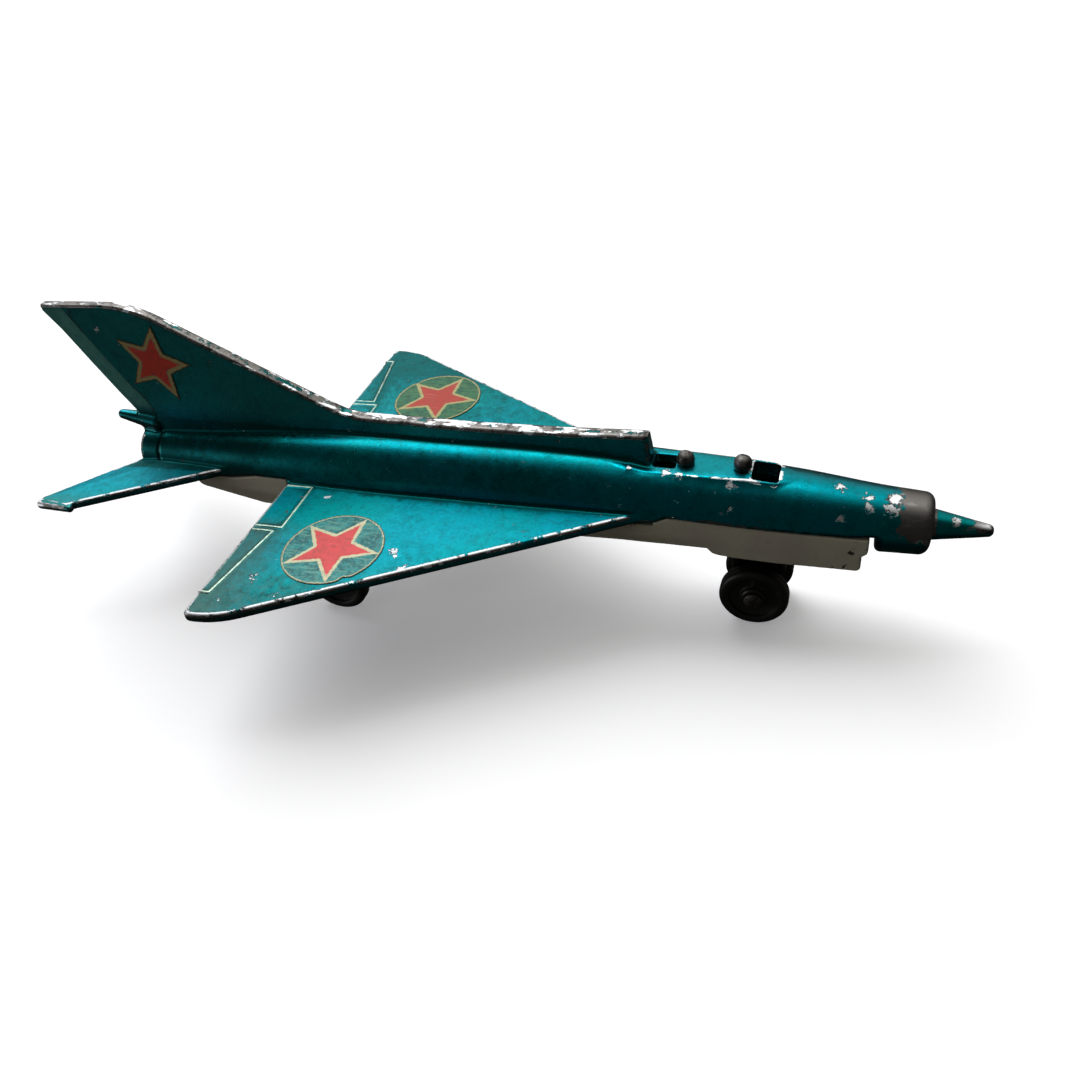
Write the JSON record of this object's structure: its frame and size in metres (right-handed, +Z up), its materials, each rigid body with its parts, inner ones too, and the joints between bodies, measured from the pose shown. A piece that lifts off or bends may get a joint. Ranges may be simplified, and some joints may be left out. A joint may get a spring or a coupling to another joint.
{
  "type": "toy airplane",
  "caption": "Pocket die-cast jet with delta wings, tall fin, nose cone and free-rolling wheels on a nose leg and two main legs; open cockpit slots.",
  "frame": {"origin": "on the ground under the middle of the toy's bounding box", "axes": "+X to the nose, +Y to the left wing tip, +Z up"},
  "size_m": [0.0964, 0.0488, 0.0318],
  "materials": {
    "teal_paint": "metallic teal lacquer, worn to bare zinc at the edges",
    "white_paint": "off-white enamel, chipped",
    "steel": "dull",
    "black_plastic": "moulded, satin",
    "wing_paper": "printed label, varnished",
    "fin_paper": "printed label, varnished"
  },
  "bodies": {
    "airframe": {"upper_body": "teal_paint", "lower_body": "white_paint", "front_rivet": "steel", "rear_rivet": "steel", "nose_leg": "black_plastic", "nose_axle": "steel", "main_leg_left": "black_plastic", "main_leg_right": "black_plastic", "main_axle": "steel", "wing_label_left": "wing_paper", "wing_label_right": "wing_paper", "fin_label_left": "fin_paper", "fin_label_right": "fin_paper"},
    "nose_wheel_left": {"nose_wheel_left": "black_plastic"},
    "nose_wheel_right": {"nose_wheel_right": "black_plastic"},
    "main_wheel_left": {"main_wheel_left": "black_plastic"},
    "main_wheel_right": {"main_wheel_right": "black_plastic"}
  },
  "joints": [
    {"name": "nose_wheel_left_spin", "type": "hinge", "parent": "airframe", "child": "nose_wheel_left", "pos_m": [0.02775, 0.0023, 0.0034], "axis": [0, 1, 0], "continuous": true},
    {"name": "nose_wheel_right_spin", "type": "hinge", "parent": "airframe", "child": "nose_wheel_right", "pos_m": [0.02775, -0.0023, 0.0034], "axis": [0, 1, 0], "continuous": true},
    {"name": "main_wheel_left_spin", "type": "hinge", "parent": "airframe", "child": "main_wheel_left", "pos_m": [-0.0161, 0.0077, 0.0034], "axis": [0, 1, 0], "continuous": true},
    {"name": "main_wheel_right_spin", "type": "hinge", "parent": "airframe", "child": "main_wheel_right", "pos_m": [-0.0161, -0.0077, 0.0034], "axis": [0, 1, 0], "continuous": true}
  ]
}
